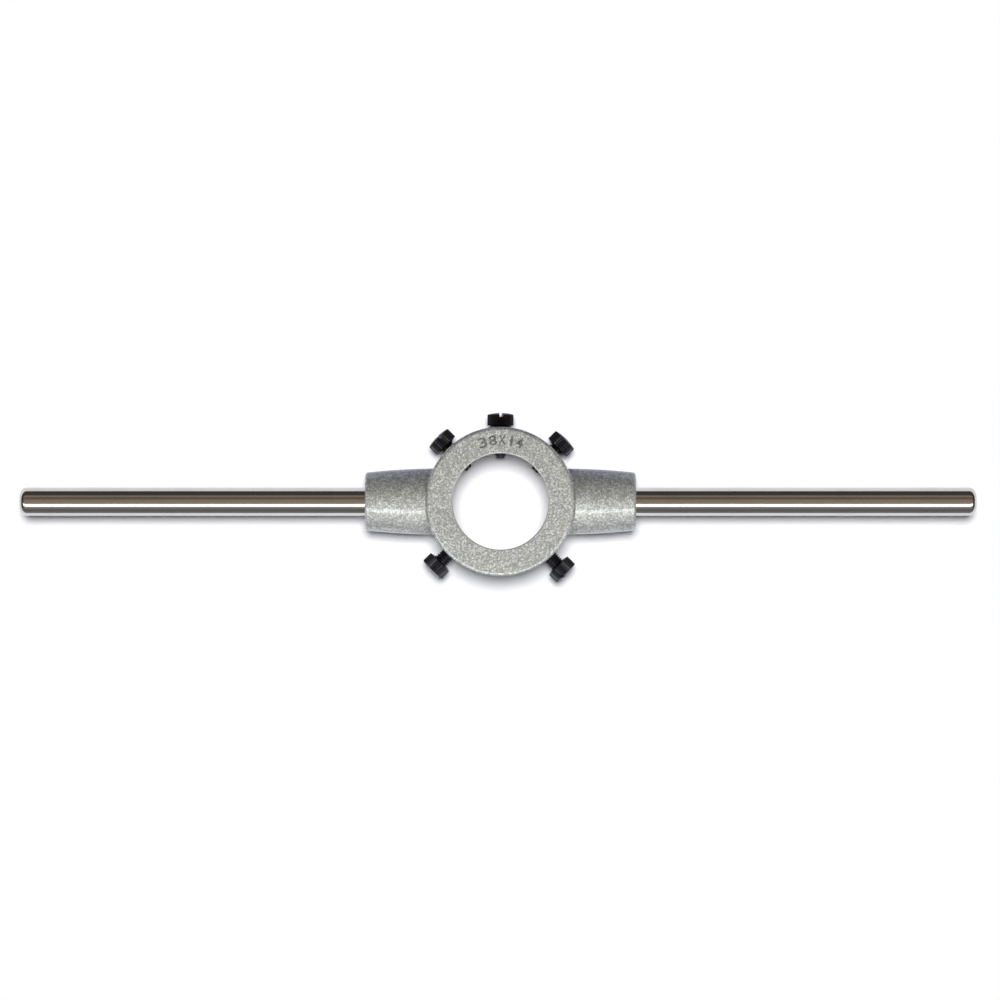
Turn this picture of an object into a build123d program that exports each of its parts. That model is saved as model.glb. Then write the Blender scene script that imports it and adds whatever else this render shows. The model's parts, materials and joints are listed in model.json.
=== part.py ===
"""Die stock handle: a cast ring with two arms, two steel handle rods and five knurled clamp screws.

The ring holds a round threading die of 38 x 14 mm. The part lies on the ring's lower face.
Origin: on the die's axis, at the mouth of the die seat, which opens downwards.
Axes: +X along the right handle rod, +Y towards the spreading screw, +Z up through the lip.
Millimetres and degrees throughout.
"""
from build123d import *
from math import cos, radians, sin, sqrt, tan
import os

os.makedirs("parts", exist_ok=True)

# Ring of the stock body: a die seat closed on top by a lip with an eye in it
seat_d = 38.0
seat_depth = 14.0
lip_thick = 5.0
eye_d = 31.6
ring_wall = 5.5
ring_edge_r = 1.0
eye_upper_edge_r = 0.4
eye_lower_edge_r = 0.4
seat_mouth_chamfer = 0.6

# Arms of the stock body, oval in section and slightly barrelled
arm_reach = 44.5
arm_root_width = 21.8
arm_root_height = 16.6
arm_end_width = 19.1
arm_end_height = 17.4
arm_barrel = 0.3
arm_root_sink = 0.2
arm_root_r = 0.6
arm_edge_r = 0.9

# Handle rods: plain bar with a threaded stub screwed into each arm, the left one cut longer
left_rod_reach = 158.3
right_rod_reach = 156.7
rod_d = 9.4
rod_nose_r = 2.4
stub_d = 8.0
stub_length = 15.0
stub_chamfer = 0.8
socket_spare_depth = 1.5
socket_sink = 0.4
drill_point_angle = 118.0

# Clamp screws: knurled and slotted head, 5 mm thread, blunt cone point
screw_d = 5.0
screw_length = 10.4
point_length = 1.75
point_root_d = 4.1
point_tip_d = 2.4
head_d = 8.6
rim_height = 3.5
crown_height = 0.6
underside_taper = 0.45
slot_width = 1.2
slot_depth = 1.3
knurl_count = 36
knurl_depth = 0.26
screw_hole_sink = 0.4

# Tapped holes: clearance round a thread's crests, and the countersink at each mouth
thread_clearance = 0.05
sink_angle = 90.0

# Each clamp screw's direction, its offset from the radial line, the gap under its head, its slot's turn
screw_places = {
    "spreading_screw": (90.0, 0.0, 0.2, 4.0),
    "closing_screw_left": (135.0, -0.35, 0.9, 12.0),
    "closing_screw_right": (45.0, -0.7, 0.95, 80.0),
    "holding_screw_left": (225.0, 0.0, 3.35, 68.0),
    "holding_screw_right": (315.0, -1.45, 3.5, 25.0),
}

# Sizes that follow from the ones above
seat_r = seat_d / 2
eye_r = eye_d / 2
ring_r = seat_r + ring_wall
ring_height = seat_depth + lip_thick
rod_axis_z = ring_height / 2
screw_axis_z = seat_depth / 2
arm_root_x = sqrt(ring_r**2 - (arm_root_width / 2) ** 2) - arm_root_sink
arm_middle_x = (arm_root_x + arm_reach) / 2
arm_middle_width = (arm_root_width + arm_end_width) / 2 + 2 * arm_barrel
arm_middle_height = (arm_root_height + arm_end_height) / 2 + 2 * arm_barrel
socket_r = stub_d / 2 + thread_clearance
socket_depth = stub_length + socket_spare_depth
screw_hole_r = screw_d / 2 + thread_clearance
drill_point = socket_r / tan(radians(drill_point_angle / 2))
head_r = head_d / 2
shank_r = screw_d / 2
rim_top = underside_taper + rim_height
head_height = rim_top + crown_height
crown_r = (head_r**2 + crown_height**2) / (2 * crown_height)
thread_end = point_length + (screw_d - point_root_d) / 2 - screw_length
knurl_side = knurl_depth * sqrt(2)
handle_rods = {"handle_rod_left": (-1, left_rod_reach), "handle_rod_right": (1, right_rod_reach)}


def arm_plane(side, x):
    """A plane across an arm, facing outwards: side is 1 for the right arm and -1 for the left."""
    return Plane(origin=(side * x, 0, rod_axis_z), x_dir=(0, 1, 0), z_dir=(side, 0, 0))


def screw_plane(angle, aside, lift):
    """The plane of a screw's seat under its head, facing outwards, its x up along the ring's axis."""
    outwards = Vector(cos(radians(angle)), sin(radians(angle)), 0)
    across = Vector(-sin(radians(angle)), cos(radians(angle)), 0)
    foot = outwards * (ring_r + lift) + across * aside + Vector(0, 0, screw_axis_z)
    return Plane(origin=foot, x_dir=(0, 0, 1), z_dir=outwards)


# Stock body, one casting, drawn from a plane whose x points down between the two holding screws
ring_plane = Plane(origin=(0, 0, 0), x_dir=(0, -1, 0), z_dir=(0, 0, 1))
with BuildPart() as stock_body:
    # Ring blank with its rounded outer edges
    with BuildSketch(ring_plane):
        Circle(ring_r)
    extrude(amount=ring_height)
    fillet(stock_body.edges().filter_by(GeomType.CIRCLE), radius=ring_edge_r)

    # Arms, each lofted from inside the ring's wall through a barrelled middle to its end
    for side in (1, -1):
        with BuildSketch(arm_plane(side, arm_root_x)):
            Ellipse(arm_root_width / 2, arm_root_height / 2)
        with BuildSketch(arm_plane(side, arm_middle_x)):
            Ellipse(arm_middle_width / 2, arm_middle_height / 2)
        with BuildSketch(arm_plane(side, arm_reach)):
            Ellipse(arm_end_width / 2, arm_end_height / 2)
        loft()
        fillet(stock_body.edges(Select.NEW), radius=arm_root_r)
    arm_ends = stock_body.faces().filter_by(Axis.X)
    fillet(arm_ends.edges(), radius=arm_edge_r)

    # Die seat from below, then the eye through the lip
    with BuildSketch(ring_plane):
        Circle(seat_r)
    extrude(amount=seat_depth, mode=Mode.SUBTRACT)
    seat_edges = stock_body.edges(Select.LAST).filter_by(GeomType.CIRCLE)
    chamfer(seat_edges.sort_by(Axis.Z)[0], length=seat_mouth_chamfer)
    with BuildSketch(ring_plane.offset(seat_depth)):
        Circle(eye_r)
    extrude(amount=lip_thick, mode=Mode.SUBTRACT)
    eye_edges = stock_body.edges(Select.LAST).filter_by(GeomType.CIRCLE)
    fillet(eye_edges.sort_by(Axis.Z)[-1], radius=eye_upper_edge_r)
    fillet(eye_edges.sort_by(Axis.Z)[0], radius=eye_lower_edge_r)

    # Tapped sockets for the handle rods, with the point that the drill leaves
    for side in (1, -1):
        mouth = arm_plane(side, arm_reach)
        with Locations(mouth):
            CounterSinkHole(socket_r, socket_r + socket_sink, socket_depth, sink_angle)
        with Locations(mouth.offset(-socket_depth)):
            point_align = (Align.CENTER, Align.CENTER, Align.MAX)
            Cone(0, socket_r, drill_point, align=point_align, mode=Mode.SUBTRACT)

    # Tapped holes for the clamp screws, from outside to the middle of the die seat
    for angle, aside, _, _ in screw_places.values():
        with Locations(screw_plane(angle, aside, 0)):
            CounterSinkHole(screw_hole_r, screw_hole_r + screw_hole_sink, ring_r, sink_angle)

stock_body.part.label = "stock_body"
export_step(stock_body.part, "parts/stock_body.step")

# Handle rods
for name, (side, reach) in handle_rods.items():
    with BuildPart() as rod:
        # Bar from the arm's end outwards, with a rounded nose
        with BuildSketch(arm_plane(side, arm_reach)):
            Circle(rod_d / 2)
        extrude(amount=reach - arm_reach)
        nose = rod.faces().filter_by(GeomType.PLANE).sort_by(Axis.X)[-1 if side > 0 else 0]
        fillet(nose.edges(), radius=rod_nose_r)
        # Stub that screws into the arm
        with BuildSketch(arm_plane(side, arm_reach)):
            Circle(stub_d / 2)
        extrude(amount=-stub_length)
        stub_face = rod.faces().filter_by(GeomType.PLANE).sort_by(Axis.X)[0 if side > 0 else -1]
        chamfer(stub_face.edges(), length=stub_chamfer)
    rod.part.label = name
    export_step(rod.part, f"parts/{name}.step")

# Clamp screws, the same piece five times
for name, (angle, aside, lift, slot_turn) in screw_places.items():
    seat = screw_plane(angle, aside, lift)
    lengthwise = Plane(origin=seat.origin, x_dir=seat.z_dir, z_dir=seat.y_dir)
    with BuildPart() as screw:
        # Turned blank, as half a section: x outwards along the screw, y across it
        with BuildSketch(lengthwise):
            with BuildLine():
                Polyline(
                    (head_height, 0),
                    (-screw_length, 0),
                    (-screw_length, point_tip_d / 2),
                    (-screw_length + point_length, point_root_d / 2),
                    (thread_end, shank_r),
                    (0, shank_r),
                    (underside_taper, head_r),
                    (rim_top, head_r),
                )
                RadiusArc((rim_top, head_r), (head_height, 0), crown_r)
            make_face()
        revolve(axis=Axis(seat.origin, seat.z_dir))
        # Straight knurl: each groove of the rim is the corner of a square
        with BuildSketch(seat):
            with PolarLocations(head_r, knurl_count):
                Rectangle(knurl_side, knurl_side, rotation=45)
        extrude(amount=head_height, mode=Mode.SUBTRACT)
        # Screwdriver slot across the crown
        with BuildSketch(seat.offset(head_height - slot_depth)):
            Rectangle(head_d + slot_width, slot_width, rotation=slot_turn)
        extrude(amount=slot_depth, mode=Mode.SUBTRACT)
    screw.part.label = name
    export_step(screw.part, f"parts/{name}.step")
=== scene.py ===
"""Die stock handle, dressed for its picture.

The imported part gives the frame: every length here is in metres, with the origin on the die's axis
at the mouth of the seat, +X along the right handle rod, +Y towards the spreading screw and +Z up.
The casting gets its hammered paint, its size mark and its machined seat, the rods get their bright
plating, and the clamp screws get a real thread, a knurled rim and a blackened finish.
"""
import json
import math

import bmesh
import bpy
from bpy.props import FloatProperty, FloatVectorProperty, IntProperty, PointerProperty
from bpy.types import Operator, Panel, PropertyGroup
from mathutils import Matrix, Vector


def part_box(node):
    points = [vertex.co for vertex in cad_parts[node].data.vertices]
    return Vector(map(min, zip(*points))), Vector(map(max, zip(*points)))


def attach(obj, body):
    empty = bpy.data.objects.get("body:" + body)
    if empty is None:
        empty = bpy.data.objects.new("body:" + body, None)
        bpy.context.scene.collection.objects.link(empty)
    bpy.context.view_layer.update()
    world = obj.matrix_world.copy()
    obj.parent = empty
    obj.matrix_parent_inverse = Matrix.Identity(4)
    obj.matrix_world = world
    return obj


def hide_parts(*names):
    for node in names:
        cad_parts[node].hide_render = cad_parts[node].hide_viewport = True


bl_info = {
    "name": "Die stock handle",
    "version": (1, 0, 0),
    "blender": (4, 5, 0),
    "location": "3D View > Sidebar > Die stock",
    "description": "Painted casting, bright handle rods and blackened clamp screws of a die stock",
    "category": "Add Mesh",
}

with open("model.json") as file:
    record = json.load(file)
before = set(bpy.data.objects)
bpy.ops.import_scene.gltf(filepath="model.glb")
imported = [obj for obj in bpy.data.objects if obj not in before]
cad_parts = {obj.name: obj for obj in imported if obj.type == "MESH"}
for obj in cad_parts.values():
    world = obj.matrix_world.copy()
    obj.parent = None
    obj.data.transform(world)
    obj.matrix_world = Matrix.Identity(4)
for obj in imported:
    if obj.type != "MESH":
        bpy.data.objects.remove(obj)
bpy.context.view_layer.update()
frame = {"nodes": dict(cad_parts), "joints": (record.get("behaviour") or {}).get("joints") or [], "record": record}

MM = 0.001
UP = Vector((0, 0, 1))
BODY = "stock"
CASTING_NODE = "stock_body"
ROD_NODES = ("handle_rod_left", "handle_rod_right")

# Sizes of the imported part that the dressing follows
MOUNTS = {mount["name"]: mount for mount in frame["record"]["mounts"]}
SEAT_R = MOUNTS["die_seat"]["dims"]["r_mm"] * MM
SEAT_DEPTH = MOUNTS["die_seat"]["dims"]["length_mm"] * MM
EYE_R = MOUNTS["lip_eye"]["dims"]["r_mm"] * MM
RING_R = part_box(CASTING_NODE)[1].y
RING_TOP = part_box(CASTING_NODE)[1].z
ROD_AXIS_Z = RING_TOP / 2
SCREW_AXES = {joint["child"]: Vector(joint["axis"]).normalized() for joint in frame["joints"]}
SEAT_CHAMFER = 0.55 * MM
SCREW_HOLE_R = 2.96 * MM

# How far each screw's slot is turned from the ring's axis
SLOT_TURNS = {
    "spreading_screw": 4,
    "closing_screw_left": 12,
    "closing_screw_right": 80,
    "holding_screw_left": 68,
    "holding_screw_right": 25,
}

# The size mark is the die's diameter and thickness, each figure stamped by hand. For each figure: the
# bearing from the middle screw in degrees, and the width
SIZE_MARK = f"{2 * SEAT_R / MM:.0f}X{SEAT_DEPTH / MM:.0f}"
STAMPS = ((16.7, 2.7 * MM), (7.1, 2.6 * MM), (-1.6, 2.4 * MM), (-10.3, 0.8 * MM), (-18.1, 2.5 * MM))
# Height of a figure as a share of the type size
FIGURE_SHARE = 0.73

# Two vertices nearer than this are one
MERGE_GAP = 0.5e-6
# Edges sharper than this stay sharp
CASTING_CREASE = math.radians(35)
SCREW_CREASE = math.radians(28)
# How far beyond a cut's nominal end its faces are still counted as machined
FACE_PLAY = 0.03 * MM
# Steps in each curve of a figure's outline, and the bend below which neighbouring faces are joined
FIGURE_CURVE_STEPS = 6
FLAT_LIMIT = math.radians(0.5)

# Depth of the knurl at each step of one rib, from groove to crest and back
KNURL_STEPS = (1.0, 0.5, 0.0, 0.0, 0.5)
# Width of the head's foot as a share of the shank, the chamfer on top of its rim, and the rings of its
# crown as shares of the head
HEAD_FOOT = 1.04
RIM_CHAMFER = 0.2 * MM
CROWN_RINGS = (0.93, 0.8, 0.6, 0.4, 0.2)
# Length of the bar that cuts the slot, as a share of the head
SLOT_REACH = 1.2

# Steps of the thread in one turn, its depth and the flat on its crest as shares of the pitch, and the
# slope of its flanks
THREAD_STEPS = 48
THREAD_DEPTH = 0.6134
CREST_FLAT = 0.125
FLANK_ANGLE = math.radians(30)
# Share of a step by which the thread is moved, so that no vertex lies on a cut, and its turns beyond
# the shank's length
OFF_STEP = 0.4
SPARE_TURNS = 3
# How far the shank goes up inside the head
SHANK_TOP = 1.2 * MM
# The blunt cone at the screw's tip
POINT_TIP_R = 1.2 * MM
POINT_BASE_R = 2.05 * MM
POINT_LENGTH = 1.75 * MM

# Noise of the hammered paint, in waves over one speckle, and how many speckles it bends the drops aside
BEND_RATE = 0.7
WORM_RATE = 1.1
GRAIN_RATE = 1.9
BEND_REACH = 0.6
# From a drop's middle, in speckles: where it starts to fall and where it ends
DROP_FALL = (0.1, 0.75)
# Heights in the paint's skin: the lowest drop, how much higher the highest is, and the worms
DROP_LEAST = 0.05
DROP_SPREAD = 0.62
WORM_HEIGHT = 0.3
# How far the winding noise is from its middle value at the side of a worm
WORM_SIDE = 0.07
# Heights at which the skin has the paint's colour and the speckles' colour
SKIN_RANGE = (0.2, 1.15)
# The figures' band, in figure heights from its middle, their walls, in figure depths from the top face,
# and the share of light that they lose at the bottom
FIGURE_BAND = (0.62, 0.66)
FIGURE_WALL = (0.8, 0.15)
FIGURE_SHADE = 0.56
# Heights between which the top of the lip begins. The eye's rim gets a painted highlight there, a lighter
# band of paint, and the ring's outer edge carries less paint
TOP_BAND = (RING_TOP - 1.5 * MM, RING_TOP - 1.0 * MM)
RIM_HIGHLIGHT_BAND = (EYE_R + 0.1 * MM, EYE_R + 0.5 * MM)
RIM_HIGHLIGHT_COLOUR = (0.76, 0.77, 0.76, 1.0)
EDGE_MIDDLE = RING_R - 0.3 * MM
EDGE_BAND = (0.3 * MM, 0.9 * MM)
EDGE_THINNING = 0.9

# Values of the noise where a surface is clean and where it is smeared
SMEAR_LIMITS = (0.38, 0.68)
# Smears of each finish, in waves over a metre
PAINT_SMEARS = 120.0
TURNED_SMEARS = 160.0
PLATING_SMEARS = 60.0
OXIDE_SMEARS = 700.0
# Roughness where a finish is clean and where it is smeared
PAINT_ROUGHNESS = (0.56, 0.64)
TURNED_ROUGHNESS = (0.28, 0.42)
OXIDE_ROUGHNESS = (0.34, 0.5)
PLATING_ROUGHNESS_SHARES = (0.85, 1.25)
# Colour of the turned metal where it is clean and where it is smeared
TURNED_CLEAN = (0.50, 0.50, 0.50, 1.0)
TURNED_SMEARED = (0.60, 0.60, 0.59, 1.0)
# Share of the plating's colour that a smear leaves, and the grey that rubbing adds to the blackening
PLATING_SMEARED = 0.93
OXIDE_RUBBED = 0.02
# Pitch and depth of the tool marks, and the grain of the blackening
TURNED_PITCH = 0.08 * MM
TURNED_DEPTH = 0.006 * MM
GROUND_PITCH = 0.12 * MM
GROUND_DEPTH = 0.0008 * MM
OXIDE_GRAIN_RATE = 6000.0
OXIDE_GRAIN_DEPTH = 0.004 * MM

# The floor: half its side, its white, and how much less of it matt surfaces get
FLOOR_HALF = 6.0
FLOOR_WHITE = 0.9
MATT_LOSS = 0.64
# What reflections lose of the floor, in front of the tool and behind it, and behind the arms
FRONT_FADE = (-0.052, -0.038)
BACK_FADE = (0.10, 0.17)
FADE_LOSS = 0.75
ARMS_END = (0.0445, 0.0455)
ARMS_BACK = (0.014, 0.034)
ARMS_LOSS = 0.4
# How blue the floor is, and the blue that matt surfaces and the arms' reflections get besides
FLOOR_BLUE = 1.03
MATT_BLUE = 0.10
ARMS_BLUE = 0.3

# The lamps and the lens
SOFTBOX_DISTANCE = 1.2
SOFTBOX_LENGTH = 2.6
SUN_TILT = math.radians(10)
SUN_WIDTH = math.radians(21)
SENSOR_WIDTH = 36.0
# The room as bright metal sees it, by the angle in degrees from straight up towards the back
ROOM_COLOURS = (
    (-90, (0.30, 0.30, 0.30)),
    (-84, (0.13, 0.13, 0.125)),
    (-66, (0.18, 0.175, 0.17)),
    (-52, (0.32, 0.30, 0.28)),
    (-44, (0.50, 0.46, 0.42)),
    (-17, (0.50, 0.45, 0.40)),
    (-9, (0.32, 0.27, 0.20)),
    (12, (0.30, 0.245, 0.175)),
    (20, (0.226, 0.16, 0.113)),
    (29, (0.12, 0.085, 0.062)),
    (38, (0.26, 0.215, 0.18)),
    (46, (0.28, 0.24, 0.20)),
    (53, (0.10, 0.09, 0.08)),
    (62, (0.058, 0.056, 0.05)),
    (86, (0.058, 0.056, 0.05)),
    (90, (0.4, 0.4, 0.4)),
)
# The room dims towards its two ends, by the sideways share of a direction
ENDS_FADE = (0.55, 0.9)
ENDS_LEFT = 0.25
# Colour of the room's fill on matt surfaces
FILL_COLOUR = (0.90, 0.95, 1.10, 1.0)


def screw_line(name):
    """A clamp screw's axis: its direction outwards, and the point where it passes the die's axis."""
    outwards = SCREW_AXES[name]
    middle = Vector()
    for way in (UP.cross(outwards), UP):
        reach = [vertex.co.dot(way) for vertex in frame["nodes"][name].data.vertices]
        middle += way * (min(reach) + max(reach)) / 2
    return outwards, middle


SCREW_LINES = {name: screw_line(name) for name in SLOT_TURNS}


class CastingSettings(PropertyGroup):
    """Sizes and colours of the painted casting."""

    paint_colour: FloatVectorProperty(
        name="Paint colour", description="Grey of the paint between the speckles",
        subtype="COLOR", size=3, min=0, max=1, default=(0.285, 0.297, 0.288),
    )
    speckle_colour: FloatVectorProperty(
        name="Speckle colour", description="Light grey of the raised speckles",
        subtype="COLOR", size=3, min=0, max=1, default=(0.88, 0.91, 0.886),
    )
    speckle_size: FloatProperty(
        name="Speckle size", description="Length of one worm of the hammered paint",
        unit="LENGTH", precision=5, default=0.74 * MM,
    )
    speckle_height: FloatProperty(
        name="Speckle height", description="How far the speckles stand above the hollows",
        unit="LENGTH", precision=6, default=0.09 * MM,
    )
    figure_height: FloatProperty(
        name="Figure height", description="Height of the stamped figures",
        unit="LENGTH", precision=5, default=3.4 * MM,
    )
    figure_weight: FloatProperty(
        name="Figure weight", description="How much each stroke is widened on either side",
        unit="LENGTH", precision=6, default=0.05 * MM,
    )
    figure_depth: FloatProperty(
        name="Figure depth", description="How deep the figures are stamped",
        unit="LENGTH", precision=5, default=0.3 * MM,
    )
    figure_radius: FloatProperty(
        name="Figure radius", description="Distance of the figures' middles from the die's axis",
        unit="LENGTH", precision=5, default=20.3 * MM,
    )


class RodSettings(PropertyGroup):
    """Finish of the handle rods."""

    plating_colour: FloatVectorProperty(
        name="Plating colour", description="Colour of the bright plating",
        subtype="COLOR", size=3, min=0, max=1, default=(0.62, 0.61, 0.60),
    )
    roughness: FloatProperty(
        name="Roughness", description="How soft the plating's reflections are",
        min=0, max=1, default=0.10,
    )


class ScrewSettings(PropertyGroup):
    """Sizes and finish of the clamp screws."""

    length: FloatProperty(
        name="Length", description="From under the head to the tip",
        unit="LENGTH", precision=5, default=10.4 * MM,
    )
    thread_diameter: FloatProperty(
        name="Thread diameter", description="Across the crests of the thread",
        unit="LENGTH", precision=5, default=5.0 * MM,
    )
    pitch: FloatProperty(
        name="Pitch", description="Distance from one thread to the next",
        unit="LENGTH", precision=5, default=0.8 * MM,
    )
    head_diameter: FloatProperty(
        name="Head diameter", description="Across the crests of the knurl",
        unit="LENGTH", precision=5, default=8.6 * MM,
    )
    underside_taper: FloatProperty(
        name="Underside taper", description="Rise of the head's coned underside",
        unit="LENGTH", precision=5, default=0.45 * MM,
    )
    rim_top: FloatProperty(
        name="Rim top", description="Height at which the crown begins",
        unit="LENGTH", precision=5, default=3.95 * MM,
    )
    crown_height: FloatProperty(
        name="Crown height", description="Rise of the crown in the middle of the head",
        unit="LENGTH", precision=5, default=0.6 * MM,
    )
    knurl_count: IntProperty(
        name="Knurl count", description="Number of ribs round the head", min=12, default=36,
    )
    knurl_depth: FloatProperty(
        name="Knurl depth", description="Depth of the grooves between the ribs",
        unit="LENGTH", precision=5, default=0.26 * MM,
    )
    slot_width: FloatProperty(
        name="Slot width", description="Width of the screwdriver slot",
        unit="LENGTH", precision=5, default=1.2 * MM,
    )
    slot_depth: FloatProperty(
        name="Slot depth", description="Depth of the screwdriver slot below the crown",
        unit="LENGTH", precision=5, default=1.3 * MM,
    )
    oxide_colour: FloatVectorProperty(
        name="Oxide colour", description="Colour of the blackening",
        subtype="COLOR", size=3, min=0, max=1, default=(0.010, 0.010, 0.014),
    )


class StageSettings(PropertyGroup):
    """Camera and lamps."""

    view_width: FloatProperty(
        name="View width", description="What the picture spans at the height of the rods",
        unit="LENGTH", precision=5, default=0.3295,
    )
    camera_height: FloatProperty(
        name="Camera height", description="Height of the camera above the rods",
        unit="LENGTH", default=1.5,
    )
    camera_shift: FloatVectorProperty(
        name="Camera place", description="Where the camera stands beside the die's axis",
        subtype="XYZ", unit="LENGTH", size=2, precision=5, default=(-0.16 * MM, 0.50 * MM),
    )
    key_tilt: FloatProperty(
        name="Key tilt", description="Angle of the long softbox from straight above",
        subtype="ANGLE", default=math.radians(32),
    )
    key_spread: FloatProperty(
        name="Key spread", description="Angle that the softbox spans across the rods",
        subtype="ANGLE", default=math.radians(26),
    )
    key_radiance: FloatProperty(
        name="Key radiance", description="Brightness of the softbox's face, where 1 is white",
        min=0, default=8.0,
    )
    fill: FloatProperty(
        name="Fill", description="Brightness of the room for matt surfaces, where 1 is white",
        min=0, default=0.04,
    )
    floor_sun: FloatProperty(
        name="Floor light", description="Strength of the light that only the floor receives",
        min=0, default=3.45,
    )


def feed(tree, socket, value):
    """Links another node's output to a socket, or sets the socket to a plain value."""
    if isinstance(value, bpy.types.NodeSocket):
        tree.links.new(value, socket)
    else:
        socket.default_value = value


def add(tree, kind, fields=None, **inputs):
    """Adds a node. An input takes a plain value or another node's output."""
    made = tree.nodes.new(kind)
    for field, value in (fields or {}).items():
        setattr(made, field, value)
    for name, value in inputs.items():
        feed(tree, made.inputs[name.replace("_", " ")], value)
    return made


def maths(tree, operation, *values):
    """Adds a Math node and returns its output."""
    made = add(tree, "ShaderNodeMath", {"operation": operation})
    for socket, value in zip(made.inputs, values):
        feed(tree, socket, value)
    return made.outputs[0]


def apart(tree, value, middle):
    """How far a value is from a middle, either way."""
    return maths(tree, "ABSOLUTE", maths(tree, "SUBTRACT", value, middle))


def between(tree, value, low, high, start=0.0, end=1.0):
    """Turns a value's stretch from low to high into a smooth step from start to end."""
    made = add(tree, "ShaderNodeMapRange", {"interpolation_type": "SMOOTHSTEP"}, Value=value,
               From_Min=low, From_Max=high, To_Min=start, To_Max=end)
    return made.outputs["Result"]


def blend_colours(tree, factor, first, second, how="MIX"):
    """Mixes two colours by a factor."""
    made = add(tree, "ShaderNodeMix", {"data_type": "RGBA", "blend_type": how})
    for index, value in ((0, factor), (6, first), (7, second)):
        feed(tree, made.inputs[index], value)
    return made.outputs[2]


def with_alpha(colour):
    """An opaque colour from three numbers."""
    return (*colour, 1.0)


def empty_tree(owner):
    """The cleared node tree of a material or a world."""
    owner.use_nodes = True
    owner.node_tree.nodes.clear()
    return owner.node_tree


def new_group(name, inputs, outputs):
    """An empty shader group. An input is (name, socket type, default), an output (name, socket type)."""
    group = bpy.data.node_groups.new(name, "ShaderNodeTree")
    for title, kind, default in inputs:
        socket = group.interface.new_socket(name=title, in_out="INPUT", socket_type=kind)
        if default is not None:
            socket.default_value = default
    for title, kind in outputs:
        group.interface.new_socket(name=title, in_out="OUTPUT", socket_type=kind)
    return group, group.nodes.new("NodeGroupInput"), group.nodes.new("NodeGroupOutput")


def handling_group():
    """Faint smears, from soft bent noise, as one mask from 0 to 1."""
    name = "Handling"
    if name in bpy.data.node_groups:
        return bpy.data.node_groups[name]
    group, given, result = new_group(
        name,
        [("Vector", "NodeSocketVector", None), ("Scale", "NodeSocketFloat", 150.0)],
        [("Mask", "NodeSocketFloat")],
    )
    smear = add(group, "ShaderNodeTexNoise", Vector=given.outputs["Vector"],
                Scale=given.outputs["Scale"], Detail=4.0, Roughness=0.6, Distortion=0.8)
    mask = between(group, smear.outputs["Fac"], *SMEAR_LIMITS)
    group.links.new(mask, result.inputs["Mask"])
    return group


def turning_group():
    """Fine tool marks of a turned or ground surface, as a height from 0 to 1 that changes along an axis."""
    name = "Turning marks"
    if name in bpy.data.node_groups:
        return bpy.data.node_groups[name]
    group, given, result = new_group(
        name,
        [("Along", "NodeSocketFloat", 0.0), ("Pitch", "NodeSocketFloat", 0.1 * MM)],
        [("Height", "NodeSocketFloat")],
    )
    steps = maths(group, "DIVIDE", given.outputs["Along"], given.outputs["Pitch"])
    marks = add(group, "ShaderNodeTexNoise", {"noise_dimensions": "1D"}, W=steps, Scale=0.35, Detail=3.0,
                Roughness=0.7)
    group.links.new(marks.outputs["Fac"], result.inputs["Height"])
    return group


def smears(tree, place, scale):
    """Places the handling group and returns its mask."""
    made = add(tree, "ShaderNodeGroup", {"node_tree": handling_group()}, Vector=place, Scale=scale)
    return made.outputs["Mask"]


def tool_marks(tree, along, pitch):
    """Places the turning group and returns its height."""
    made = add(tree, "ShaderNodeGroup", {"node_tree": turning_group()}, Along=along, Pitch=pitch)
    return made.outputs["Height"]


def from_axis(tree, axes):
    """The distance from the die's axis."""
    squares = [maths(tree, "POWER", axes.outputs[name], 2.0) for name in ("X", "Y")]
    return maths(tree, "SQRT", maths(tree, "ADD", *squares))


def new_material(name):
    """An empty node material with its shader and its object coordinates."""
    material = bpy.data.materials.new(name)
    tree = empty_tree(material)
    shader = add(tree, "ShaderNodeBsdfPrincipled")
    add(tree, "ShaderNodeOutputMaterial", Surface=shader.outputs["BSDF"])
    place = add(tree, "ShaderNodeTexCoord").outputs["Object"]
    return material, tree, shader, place


def set_plain(shader, **values):
    """Sets the shader's numbers and colours that are the same all over the surface."""
    for name, value in values.items():
        shader.inputs[name.replace("_", " ")].default_value = value


def set_smeared(tree, shader, mask, colours, roughness):
    """Leads the shader's colour and roughness from clean to smeared by a mask."""
    tree.links.new(blend_colours(tree, mask, *colours), shader.inputs["Base Color"])
    tree.links.new(between(tree, mask, 0.0, 1.0, *roughness), shader.inputs["Roughness"])


def set_relief(tree, shader, height, distance, strength=1.0):
    """Raises the surface by a height times a distance."""
    bump = add(tree, "ShaderNodeBump", Strength=strength, Distance=distance, Height=height)
    tree.links.new(bump.outputs["Normal"], shader.inputs["Normal"])


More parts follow.
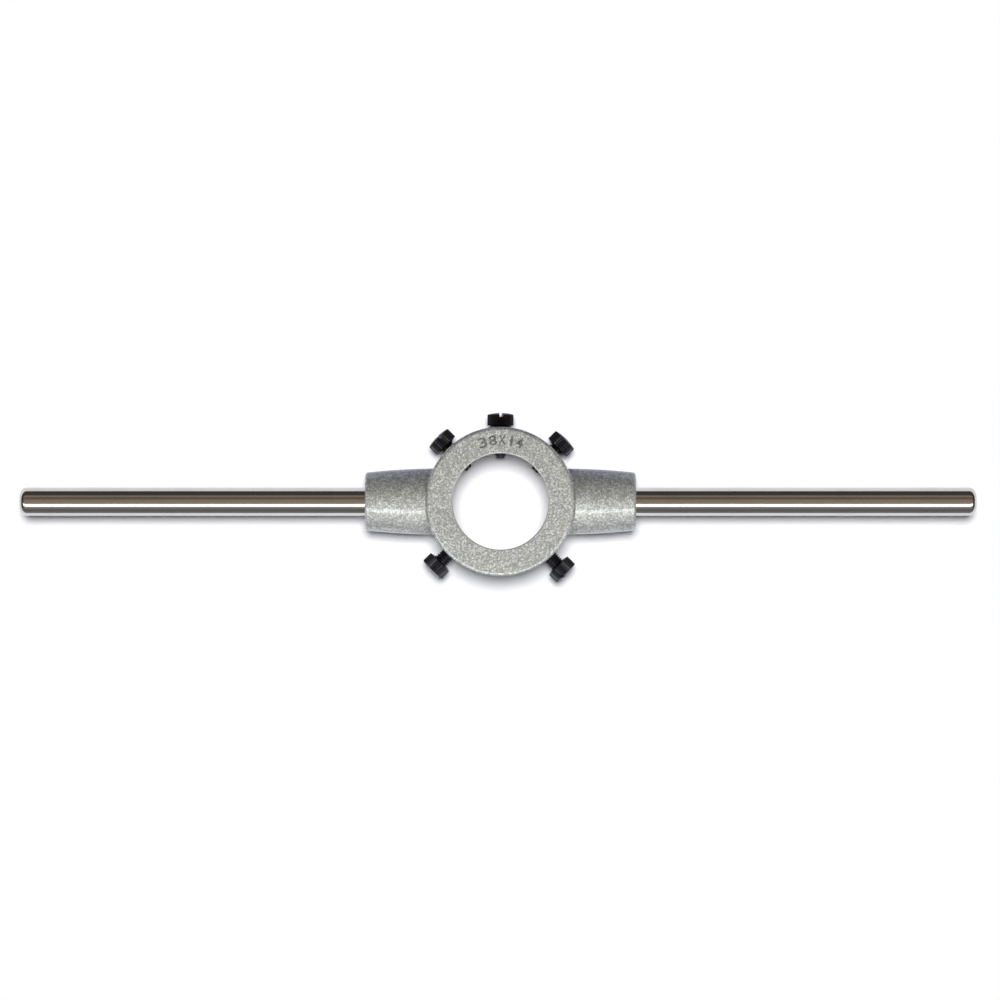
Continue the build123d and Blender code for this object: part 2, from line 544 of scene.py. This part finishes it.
def paint_skin(tree, place, look):
    """Height of the hammered paint: small drops and winding worms on a fine grain."""
    scale = 1.0 / look.speckle_size
    bent = add(tree, "ShaderNodeTexNoise", Vector=place, Scale=scale * BEND_RATE, Detail=1.0)
    push = add(tree, "ShaderNodeVectorMath", {"operation": "SCALE"}, Vector=bent.outputs["Color"],
               Scale=BEND_REACH * look.speckle_size)
    moved = add(tree, "ShaderNodeVectorMath", {"operation": "ADD"}, Vector=place)
    tree.links.new(push.outputs[0], moved.inputs[1])
    drops = add(tree, "ShaderNodeTexVoronoi", {"feature": "SMOOTH_F1"}, Vector=moved.outputs[0],
                Scale=scale, Smoothness=0.3, Randomness=1.0)
    drop = between(tree, drops.outputs["Distance"], *DROP_FALL, 1.0, 0.0)
    luck = add(tree, "ShaderNodeSeparateColor", Color=drops.outputs["Color"])
    size = maths(tree, "MULTIPLY_ADD", luck.outputs["Red"], DROP_SPREAD, DROP_LEAST)
    winding = add(tree, "ShaderNodeTexNoise", Vector=moved.outputs[0], Scale=scale * WORM_RATE, Detail=1.0)
    off_line = apart(tree, winding.outputs["Fac"], 0.5)
    worm = between(tree, off_line, 0.0, WORM_SIDE, WORM_HEIGHT, 0.0)
    grain = add(tree, "ShaderNodeTexNoise", Vector=place, Scale=scale * GRAIN_RATE, Detail=3.0,
                Roughness=0.6)
    raised = maths(tree, "MULTIPLY_ADD", drop, size, worm)
    return maths(tree, "ADD", grain.outputs["Fac"], raised)


def figure_shade(tree, height, radius, look):
    """A grey that darkens the bottom of the stamped figures and is white elsewhere."""
    beside = apart(tree, radius, look.figure_radius)
    inner, outer = (share * look.figure_height for share in FIGURE_BAND)
    in_band = between(tree, beside, inner, outer, 1.0, 0.0)
    bottom, brink = (RING_TOP - share * look.figure_depth for share in FIGURE_WALL)
    sunk = between(tree, height, bottom, brink, FIGURE_SHADE, 0.0)
    shade = maths(tree, "SUBTRACT", 1.0, maths(tree, "MULTIPLY", sunk, in_band))
    return add(tree, "ShaderNodeCombineColor", Red=shade, Green=shade, Blue=shade).outputs[0]


def hammer_paint(look):
    """Silver grey hammered paint: a speckled skin, half metallic, under a clear gloss."""
    material, tree, shader, place = new_material("hammered_paint")
    axes = add(tree, "ShaderNodeSeparateXYZ", Vector=place)
    radius = from_axis(tree, axes)
    near_top = between(tree, axes.outputs["Z"], *TOP_BAND)
    skin = paint_skin(tree, place, look)

    colour = blend_colours(tree, between(tree, skin, *SKIN_RANGE), with_alpha(look.paint_colour),
                           with_alpha(look.speckle_colour))
    shade = figure_shade(tree, axes.outputs["Z"], radius, look)
    colour = blend_colours(tree, 1.0, colour, shade, "MULTIPLY")
    rim = between(tree, radius, *RIM_HIGHLIGHT_BAND, 1.0, 0.0)
    # Painted highlight: a lighter band of paint along the eye's rim on top of the lip
    colour = blend_colours(tree, maths(tree, "MULTIPLY", rim, near_top), colour, RIM_HIGHLIGHT_COLOUR)
    tree.links.new(colour, shader.inputs["Base Color"])
    rough = between(tree, smears(tree, place, PAINT_SMEARS), 0.0, 1.0, *PAINT_ROUGHNESS)
    tree.links.new(rough, shader.inputs["Roughness"])

    edge = between(tree, apart(tree, radius, EDGE_MIDDLE), *EDGE_BAND, EDGE_THINNING, 0.0)
    full = maths(tree, "SUBTRACT", 1.0, maths(tree, "MULTIPLY", edge, near_top))
    set_relief(tree, shader, maths(tree, "MULTIPLY", skin, full), look.speckle_height)
    set_plain(shader, Metallic=0.65, Specular_Tint=(0.15, 0.16, 0.30, 1.0), Coat_Weight=0.7,
              Coat_Roughness=0.09)
    return material


def turned_metal():
    """Bare metal of the die seat and the drilled holes, turned in fine rings round the die's axis."""
    material, tree, shader, place = new_material("turned_metal")
    axes = add(tree, "ShaderNodeSeparateXYZ", Vector=place)
    along = maths(tree, "ADD", from_axis(tree, axes), axes.outputs["Z"])
    mask = smears(tree, place, TURNED_SMEARS)
    set_smeared(tree, shader, mask, (TURNED_CLEAN, TURNED_SMEARED), TURNED_ROUGHNESS)
    set_relief(tree, shader, tool_marks(tree, along, TURNED_PITCH), TURNED_DEPTH)
    set_plain(shader, Metallic=1.0)
    return material


def bright_plating(look):
    """Bright plating over a ground bar: a clear mirror with faint marks round the rod and a few smears."""
    material, tree, shader, place = new_material("bright_plating")
    axes = add(tree, "ShaderNodeSeparateXYZ", Vector=place)
    mask = smears(tree, place, PLATING_SMEARS)
    dull = tuple(PLATING_SMEARED * part for part in look.plating_colour)
    roughness = [share * look.roughness for share in PLATING_ROUGHNESS_SHARES]
    set_smeared(tree, shader, mask, (with_alpha(look.plating_colour), with_alpha(dull)), roughness)
    set_relief(tree, shader, tool_marks(tree, axes.outputs["X"], GROUND_PITCH), GROUND_DEPTH)
    set_plain(shader, Metallic=1.0)
    return material


def black_oxide(look):
    """Blackened steel: nearly black, with an oily sheen and a little grey where fingers rub the knurl."""
    material, tree, shader, place = new_material("black_oxide")
    mask = smears(tree, place, OXIDE_SMEARS)
    rubbed = tuple(part + OXIDE_RUBBED for part in look.oxide_colour)
    colours = (with_alpha(look.oxide_colour), with_alpha(rubbed))
    set_smeared(tree, shader, mask, colours, OXIDE_ROUGHNESS)
    grain = add(tree, "ShaderNodeTexNoise", Vector=place, Scale=OXIDE_GRAIN_RATE, Detail=2.0)
    set_relief(tree, shader, grain.outputs["Fac"], OXIDE_GRAIN_DEPTH, strength=0.6)
    set_plain(shader, Metallic=0.5, Specular_Tint=(0.8, 0.84, 1.0, 1.0), Coat_Weight=0.28,
              Coat_Roughness=0.2)
    return material


def new_object(name, data):
    """Puts a mesh, a curve, a lamp or a camera into the scene as an object at the origin."""
    made = bpy.data.objects.new(name, data)
    bpy.context.scene.collection.objects.link(made)
    return made


def finish_mesh(name, shape):
    """Turns a bmesh into a mesh with its normals outwards, and frees it."""
    bmesh.ops.recalc_face_normals(shape, faces=shape.faces[:])
    mesh = bpy.data.meshes.new(name)
    shape.to_mesh(mesh)
    shape.free()
    return mesh


def combine(piece, tool, operation):
    """Cuts the tool out of the piece, or joins it on, and clears the tool away."""
    modifier = piece.modifiers.new("combine", "BOOLEAN")
    modifier.object = tool
    modifier.operation = operation
    modifier.solver = "MANIFOLD"
    graph = bpy.context.evaluated_depsgraph_get()
    solid = bpy.data.meshes.new_from_object(piece.evaluated_get(graph))
    if not solid.polygons:
        raise RuntimeError(f"{piece.name} was lost in its {operation.lower()}")
    piece.modifiers.clear()
    piece.data = solid
    bpy.data.objects.remove(tool)


def shade_smooth(piece, crease):
    """Smooth shading with the edges sharper than the crease kept, and flat faces kept flat."""
    shape = bmesh.new()
    shape.from_mesh(piece.data)
    for face in shape.faces:
        face.smooth = True
    for edge in shape.edges:
        edge.smooth = edge.calc_face_angle(0.0) < crease
    shape.to_mesh(piece.data)
    shape.free()
    weighted = piece.modifiers.new("flat_faces", "WEIGHTED_NORMAL")
    weighted.keep_sharp = True
    weighted.weight = 100


def stamped_figures(look):
    """The size mark as one solid that stands through the lip's top face."""
    marks = bmesh.new()
    for figure, (bearing, width) in zip(SIZE_MARK, STAMPS):
        curve = bpy.data.curves.new("figure", "FONT")
        curve.body = figure
        curve.align_x = "CENTER"
        curve.size = look.figure_height / FIGURE_SHARE
        curve.extrude = look.figure_depth
        curve.offset = look.figure_weight
        curve.resolution_u = FIGURE_CURVE_STEPS
        text = new_object("figure", curve)
        graph = bpy.context.evaluated_depsgraph_get()
        mesh = bpy.data.meshes.new_from_object(text.evaluated_get(graph))
        sides = [vertex.co.x for vertex in mesh.vertices]
        stretch = Matrix.Scale(width / (max(sides) - min(sides)), 4, (1, 0, 0))
        foot = Vector((0, look.figure_radius - look.figure_height / 2, RING_TOP))
        mesh.transform(Matrix.Rotation(math.radians(bearing), 4, "Z") @ Matrix.Translation(foot) @ stretch)
        marks.from_mesh(mesh)
        bpy.data.objects.remove(text)
    bmesh.ops.remove_doubles(marks, verts=marks.verts[:], dist=MERGE_GAP)
    bmesh.ops.dissolve_limit(marks, angle_limit=FLAT_LIMIT, verts=marks.verts[:], edges=marks.edges[:])
    return new_object("figures", finish_mesh("figures", marks))


class DIESTOCK_OT_casting(Operator):
    """Dresses the casting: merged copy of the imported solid, stamped size mark, paint and turned seat"""

    bl_idname = "die_stock.casting"
    bl_label = "Casting"

    def execute(self, context):
        look = context.scene.die_stock_casting
        shape = bmesh.new()
        shape.from_mesh(frame["nodes"][CASTING_NODE].data)
        bmesh.ops.remove_doubles(shape, verts=shape.verts[:], dist=MERGE_GAP)
        casting = new_object("painted_casting", finish_mesh("painted_casting", shape))
        combine(casting, stamped_figures(look), "DIFFERENCE")
        casting.data.materials.clear()
        casting.data.materials.append(hammer_paint(look))
        casting.data.materials.append(turned_metal())
        for face in casting.data.polygons:
            face.material_index = 1 if is_machined(face.center) else 0
        shade_smooth(casting, CASTING_CREASE)
        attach(casting, BODY)
        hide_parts(CASTING_NODE)
        return {"FINISHED"}


def is_machined(point):
    """True on the seat's wall and shoulder and in the drilled holes, which are cut after painting."""
    reach = math.hypot(point.x, point.y)
    if reach < SEAT_R + SEAT_CHAMFER and point.z < SEAT_DEPTH + FACE_PLAY:
        return True
    for outwards, middle in SCREW_LINES.values():
        along = point.dot(outwards)
        aside = (point - outwards * along - middle).length
        if EYE_R < along < RING_R + FACE_PLAY and aside < SCREW_HOLE_R:
            return True
    return False


class DIESTOCK_OT_rods(Operator):
    """Plates the two handle rods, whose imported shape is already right"""

    bl_idname = "die_stock.rods"
    bl_label = "Handle rods"

    def execute(self, context):
        plating = bright_plating(context.scene.die_stock_rods)
        for name in ROD_NODES:
            for slot in frame["nodes"][name].material_slots:
                slot.material = plating
        return {"FINISHED"}


def knurled_head(look):
    """The head, standing on z = 0: coned underside, ribbed rim between two chamfers, domed crown."""
    crest = look.head_diameter / 2
    groove = crest - look.knurl_depth
    shank = look.thread_diameter / 2
    dome = (crest**2 + look.crown_height**2) / (2 * look.crown_height)
    top = look.rim_top + look.crown_height
    segments = len(KNURL_STEPS) * look.knurl_count
    profile = [
        (0.0, HEAD_FOOT * shank),
        (look.underside_taper * (groove - shank) / (crest - shank), groove),
        (look.underside_taper, crest),
        (look.rim_top - RIM_CHAMFER, crest),
    ]
    for share in CROWN_RINGS:
        profile.append((top - dome + math.sqrt(dome**2 - (share * crest) ** 2), share * crest))
    head = bmesh.new()
    bmesh.ops.create_circle(head, cap_ends=True, segments=segments, radius=crest)
    ring = list(head.verts)
    ribs = [crest - look.knurl_depth * KNURL_STEPS[index % len(KNURL_STEPS)] for index in range(segments)]
    angles = [math.atan2(vertex.co.y, vertex.co.x) for vertex in ring]
    for level, (height, limit) in enumerate(profile):
        if level:
            cap = [face for face in head.faces if set(face.verts) == set(ring)]
            grown = bmesh.ops.extrude_face_region(head, geom=cap)["geom"]
            ring = in_order([item for item in grown if isinstance(item, bmesh.types.BMVert)], angles)
            if level > 1:
                bmesh.ops.delete(head, geom=cap, context="FACES_ONLY")
        for vertex, angle, rib in zip(ring, angles, ribs):
            radius = min(rib, limit)
            vertex.co = (radius * math.cos(angle), radius * math.sin(angle), height)
    return head


def quarter_degrees(angle):
    """An angle as a whole number of quarter degrees within one turn."""
    return round(4 * math.degrees(angle)) % (4 * 360)


def in_order(vertices, angles):
    """The vertices of a ring, in the order of the given angles."""
    turns = {quarter_degrees(angle): index for index, angle in enumerate(angles)}
    placed = [None] * len(angles)
    for vertex in vertices:
        angle = math.atan2(vertex.co.y, vertex.co.x)
        placed[turns[quarter_degrees(angle)]] = vertex
    return placed


def threaded_shank(look):
    """The shank, from inside the head down to its coned tip, with a helical thread."""
    crest = look.thread_diameter / 2
    depth = THREAD_DEPTH * look.pitch
    flank = depth * math.tan(FLANK_ANGLE)
    flat = CREST_FLAT * look.pitch
    root = crest - depth
    start = -look.length - look.pitch * (1 + OFF_STEP / THREAD_STEPS)
    turns = math.ceil((look.length + SPARE_TURNS * look.pitch) / look.pitch)
    shank = bmesh.new()
    profile = [
        (0.0, root),
        (look.pitch - 2 * flank - flat, root),
        (look.pitch - flank - flat, crest),
        (look.pitch - flank, crest),
        (look.pitch, root),
    ]
    points = [shank.verts.new((radius, 0, start + height)) for height, radius in profile]
    edges = [shank.edges.new(pair) for pair in zip(points, points[1:])]
    bmesh.ops.spin(
        shank, geom=points + edges, cent=(0, 0, 0), axis=(0, 0, 1), angle=2 * math.pi * turns,
        dvec=(0, 0, look.pitch / THREAD_STEPS), steps=THREAD_STEPS * turns, use_merge=False,
    )
    bmesh.ops.remove_doubles(shank, verts=shank.verts[:], dist=MERGE_GAP)
    for height, away in ((-look.length, -1), (SHANK_TOP, 1)):
        cut = bmesh.ops.bisect_plane(
            shank, geom=shank.verts[:] + shank.edges[:] + shank.faces[:],
            plane_co=(0, 0, height), plane_no=(0, 0, away), clear_outer=True,
        )["geom_cut"]
        rim = [item for item in cut if isinstance(item, bmesh.types.BMEdge)]
        bmesh.ops.contextual_create(shank, geom=rim)
    for vertex in shank.verts:
        limit = point_radius(look, vertex.co.z)
        radius = math.hypot(vertex.co.x, vertex.co.y)
        if radius > limit:
            vertex.co.x *= limit / radius
            vertex.co.y *= limit / radius
    return shank


def point_radius(look, height):
    """The widest the screw may be at a height: a blunt cone at the tip, then a chamfer up to the thread."""
    above = height + look.length
    if above <= POINT_LENGTH:
        return POINT_TIP_R + (POINT_BASE_R - POINT_TIP_R) * above / POINT_LENGTH
    return min(look.thread_diameter / 2, POINT_BASE_R + above - POINT_LENGTH)


class DIESTOCK_OT_screws(Operator):
    """Makes the five clamp screws as copies of one, each on its own body"""

    bl_idname = "die_stock.screws"
    bl_label = "Clamp screws"

    def execute(self, context):
        look = context.scene.die_stock_screws
        screw = new_object("clamp_screw", finish_mesh("clamp_screw", knurled_head(look)))
        combine(screw, new_object("shank", finish_mesh("shank", threaded_shank(look))), "UNION")
        combine(screw, new_object("slot", finish_mesh("slot", slot_cutter(look))), "DIFFERENCE")
        blacking = black_oxide(look)
        for name, turn in SLOT_TURNS.items():
            outwards, middle = SCREW_LINES[name]
            tip = min(vertex.co.dot(outwards) for vertex in frame["nodes"][name].data.vertices)
            foot = middle + outwards * (tip + look.length)
            across = outwards.cross(UP)
            turned = Matrix((UP, across, outwards)).transposed().to_4x4()
            mesh = screw.data.copy()
            mesh.transform(Matrix.Translation(foot) @ turned @ Matrix.Rotation(math.radians(turn), 4, "Z"))
            piece = new_object(f"{name}_threaded", mesh)
            mesh.materials.clear()
            mesh.materials.append(blacking)
            shade_smooth(piece, SCREW_CREASE)
            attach(piece, name)
            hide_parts(name)
        bpy.data.objects.remove(screw)
        return {"FINISHED"}


def slot_cutter(look):
    """A bar that cuts the screwdriver slot through the crown."""
    top = look.rim_top + look.crown_height
    bar = bmesh.new()
    bmesh.ops.create_cube(bar, size=1.0)
    size = (SLOT_REACH * look.head_diameter, look.slot_width, 2 * look.slot_depth)
    bmesh.ops.scale(bar, verts=bar.verts[:], vec=size)
    bmesh.ops.translate(bar, verts=bar.verts[:], vec=(0, 0, top))
    return bar


class DIESTOCK_OT_stage(Operator):
    """Lays the floor, hangs the softbox, colours the room and sets the camera straight above"""

    bl_idname = "die_stock.stage"
    bl_label = "Stage"

    def execute(self, context):
        look = context.scene.die_stock_stage
        context.scene.view_settings.view_transform = "Standard"
        floor = lay_floor()
        hang_softbox(look, floor)
        light_floor(look, floor)
        context.scene.world = room(look)
        set_camera(context.scene, look)
        return {"FINISHED"}


def lay_floor():
    """A wide white floor. Matt surfaces get less of it, and reflections see it white near the tool only."""
    shape = bmesh.new()
    bmesh.ops.create_grid(shape, x_segments=1, y_segments=1, size=FLOOR_HALF)
    floor = new_object("floor", finish_mesh("floor", shape))
    material = bpy.data.materials.new("white_floor")
    tree = empty_tree(material)
    path = add(tree, "ShaderNodeLightPath")
    place = add(tree, "ShaderNodeTexCoord").outputs["Object"]
    axes = add(tree, "ShaderNodeSeparateXYZ", Vector=place)
    front = between(tree, axes.outputs["Y"], *FRONT_FADE, FADE_LOSS, 0.0)
    back = between(tree, axes.outputs["Y"], *BACK_FADE, 0.0, FADE_LOSS)
    beside = maths(tree, "ABSOLUTE", axes.outputs["X"])
    by_arms = maths(tree, "MULTIPLY", between(tree, beside, *ARMS_END, ARMS_LOSS, 0.0),
                    between(tree, axes.outputs["Y"], *ARMS_BACK))
    lost = maths(tree, "MAXIMUM", maths(tree, "ADD", front, back), by_arms)

    glossy_ray = path.outputs["Is Glossy Ray"]
    matt_ray = path.outputs["Is Diffuse Ray"]
    white = maths(tree, "MULTIPLY_ADD", matt_ray, -MATT_LOSS, FLOOR_WHITE)
    shade = maths(tree, "SUBTRACT", white, maths(tree, "MULTIPLY", glossy_ray, lost))
    blue = maths(tree, "MULTIPLY_ADD", matt_ray, MATT_BLUE, maths(tree, "MULTIPLY", shade, FLOOR_BLUE))
    blue = maths(tree, "MULTIPLY_ADD", maths(tree, "MULTIPLY", glossy_ray, by_arms), ARMS_BLUE, blue)
    colour = add(tree, "ShaderNodeCombineColor", Red=shade, Green=shade, Blue=blue)
    matt = add(tree, "ShaderNodeBsdfDiffuse", Color=colour.outputs[0])
    add(tree, "ShaderNodeOutputMaterial", Surface=matt.outputs[0])
    floor.data.materials.append(material)
    return floor


def hang_softbox(look, floor):
    """The long softbox whose reflection runs along the rods. It leaves the floor to its own light."""
    width = 2 * SOFTBOX_DISTANCE * math.tan(look.key_spread / 2)
    lamp = bpy.data.lights.new("softbox", "AREA")
    lamp.shape = "RECTANGLE"
    lamp.size = SOFTBOX_LENGTH
    lamp.size_y = width
    lamp.energy = look.key_radiance * math.pi * SOFTBOX_LENGTH * width
    softbox = new_object("softbox", lamp)
    softbox.location = (
        0, -SOFTBOX_DISTANCE * math.sin(look.key_tilt), SOFTBOX_DISTANCE * math.cos(look.key_tilt),
    )
    softbox.rotation_euler = (-look.key_tilt, 0, 0)
    others = bpy.data.collections.new("not_the_floor")
    others.objects.link(floor)
    others.collection_objects[0].light_linking.link_state = "EXCLUDE"
    softbox.light_linking.receiver_collection = others


def light_floor(look, floor):
    """A soft sun for the floor alone, from a little behind, so the shadow falls towards the viewer."""
    lamp = bpy.data.lights.new("floor_light", "SUN")
    lamp.energy = look.floor_sun
    lamp.angle = SUN_WIDTH
    sun = new_object("floor_light", lamp)
    sun.rotation_euler = (-SUN_TILT, 0, 0)
    only = bpy.data.collections.new("only_the_floor")
    only.objects.link(floor)
    sun.light_linking.receiver_collection = only


def room(look):
    """The room: white to the eye, and for bright metal a dim warm ceiling between dark walls."""
    world = bpy.data.worlds.new("room")
    tree = empty_tree(world)
    way = add(tree, "ShaderNodeTexCoord").outputs["Generated"]
    axes = add(tree, "ShaderNodeSeparateXYZ", Vector=way)
    turn = maths(tree, "ARCTAN2", axes.outputs["Y"], axes.outputs["Z"])
    share = maths(tree, "ADD", maths(tree, "DIVIDE", turn, math.pi), 0.5)
    ramp = add(tree, "ShaderNodeValToRGB", Fac=share)
    elements = ramp.color_ramp.elements
    while len(elements) < len(ROOM_COLOURS):
        elements.new(0.5)
    for element, (angle, colour) in zip(elements, ROOM_COLOURS):
        element.position = angle / 180 + 0.5
        element.color = with_alpha(colour)

    sideways = maths(tree, "ABSOLUTE", axes.outputs["X"])
    strength = between(tree, sideways, *ENDS_FADE, 1.0, ENDS_LEFT)
    mirrored = add(tree, "ShaderNodeBackground", Color=ramp.outputs["Color"], Strength=strength)
    soft = add(tree, "ShaderNodeBackground", Color=FILL_COLOUR, Strength=look.fill)
    white = add(tree, "ShaderNodeBackground", Color=(1, 1, 1, 1), Strength=1.0)
    path = add(tree, "ShaderNodeLightPath")
    lit = mix_shaders(tree, path.outputs["Is Glossy Ray"], soft, mirrored)
    straight = maths(tree, "MAXIMUM", path.outputs["Is Camera Ray"], path.outputs["Is Transmission Ray"])
    seen = mix_shaders(tree, straight, lit, white)
    add(tree, "ShaderNodeOutputWorld", Surface=seen.outputs[0])
    return world


def mix_shaders(tree, factor, first, second):
    """Mixes two shader nodes by a factor."""
    made = add(tree, "ShaderNodeMixShader", Fac=factor)
    tree.links.new(first.outputs[0], made.inputs[1])
    tree.links.new(second.outputs[0], made.inputs[2])
    return made


def set_camera(scene, look):
    """A long lens straight above the part, level with the picture's edges."""
    lens = bpy.data.cameras.new("camera")
    lens.sensor_width = SENSOR_WIDTH
    lens.lens = SENSOR_WIDTH * look.camera_height / look.view_width
    camera = new_object("camera", lens)
    camera.location = (*look.camera_shift, ROD_AXIS_Z + look.camera_height)
    scene.camera = camera


class DIESTOCK_PT_sidebar(Panel):
    """Lists the steps that dress the die stock."""

    bl_idname = "DIESTOCK_PT_sidebar"
    bl_label = "Die stock"
    bl_space_type = "VIEW_3D"
    bl_region_type = "UI"
    bl_category = "Die stock"

    def draw(self, context):
        for settings, step in STEPS:
            box = self.layout.box()
            box.operator(step)
            group = getattr(context.scene, settings)
            for name in group.bl_rna.properties.keys():
                if name not in ("rna_type", "name"):
                    box.prop(group, name)


STEPS = (
    ("die_stock_casting", "die_stock.casting"),
    ("die_stock_rods", "die_stock.rods"),
    ("die_stock_screws", "die_stock.screws"),
    ("die_stock_stage", "die_stock.stage"),
)
SETTINGS = {
    "die_stock_casting": CastingSettings,
    "die_stock_rods": RodSettings,
    "die_stock_screws": ScrewSettings,
    "die_stock_stage": StageSettings,
}
CLASSES = (
    *SETTINGS.values(),
    DIESTOCK_OT_casting,
    DIESTOCK_OT_rods,
    DIESTOCK_OT_screws,
    DIESTOCK_OT_stage,
    DIESTOCK_PT_sidebar,
)


def register():
    """Adds the settings, the operators and the panel."""
    for item in CLASSES:
        bpy.utils.register_class(item)
    for name, group in SETTINGS.items():
        setattr(bpy.types.Scene, name, PointerProperty(type=group))


def unregister():
    """Takes them away again."""
    for name in SETTINGS:
        delattr(bpy.types.Scene, name)
    for item in reversed(CLASSES):
        bpy.utils.unregister_class(item)


def main():
    """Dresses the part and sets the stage."""
    register()
    bpy.ops.die_stock.casting()
    bpy.ops.die_stock.rods()
    bpy.ops.die_stock.screws()
    bpy.ops.die_stock.stage()


if __name__ == "__main__":
    main()
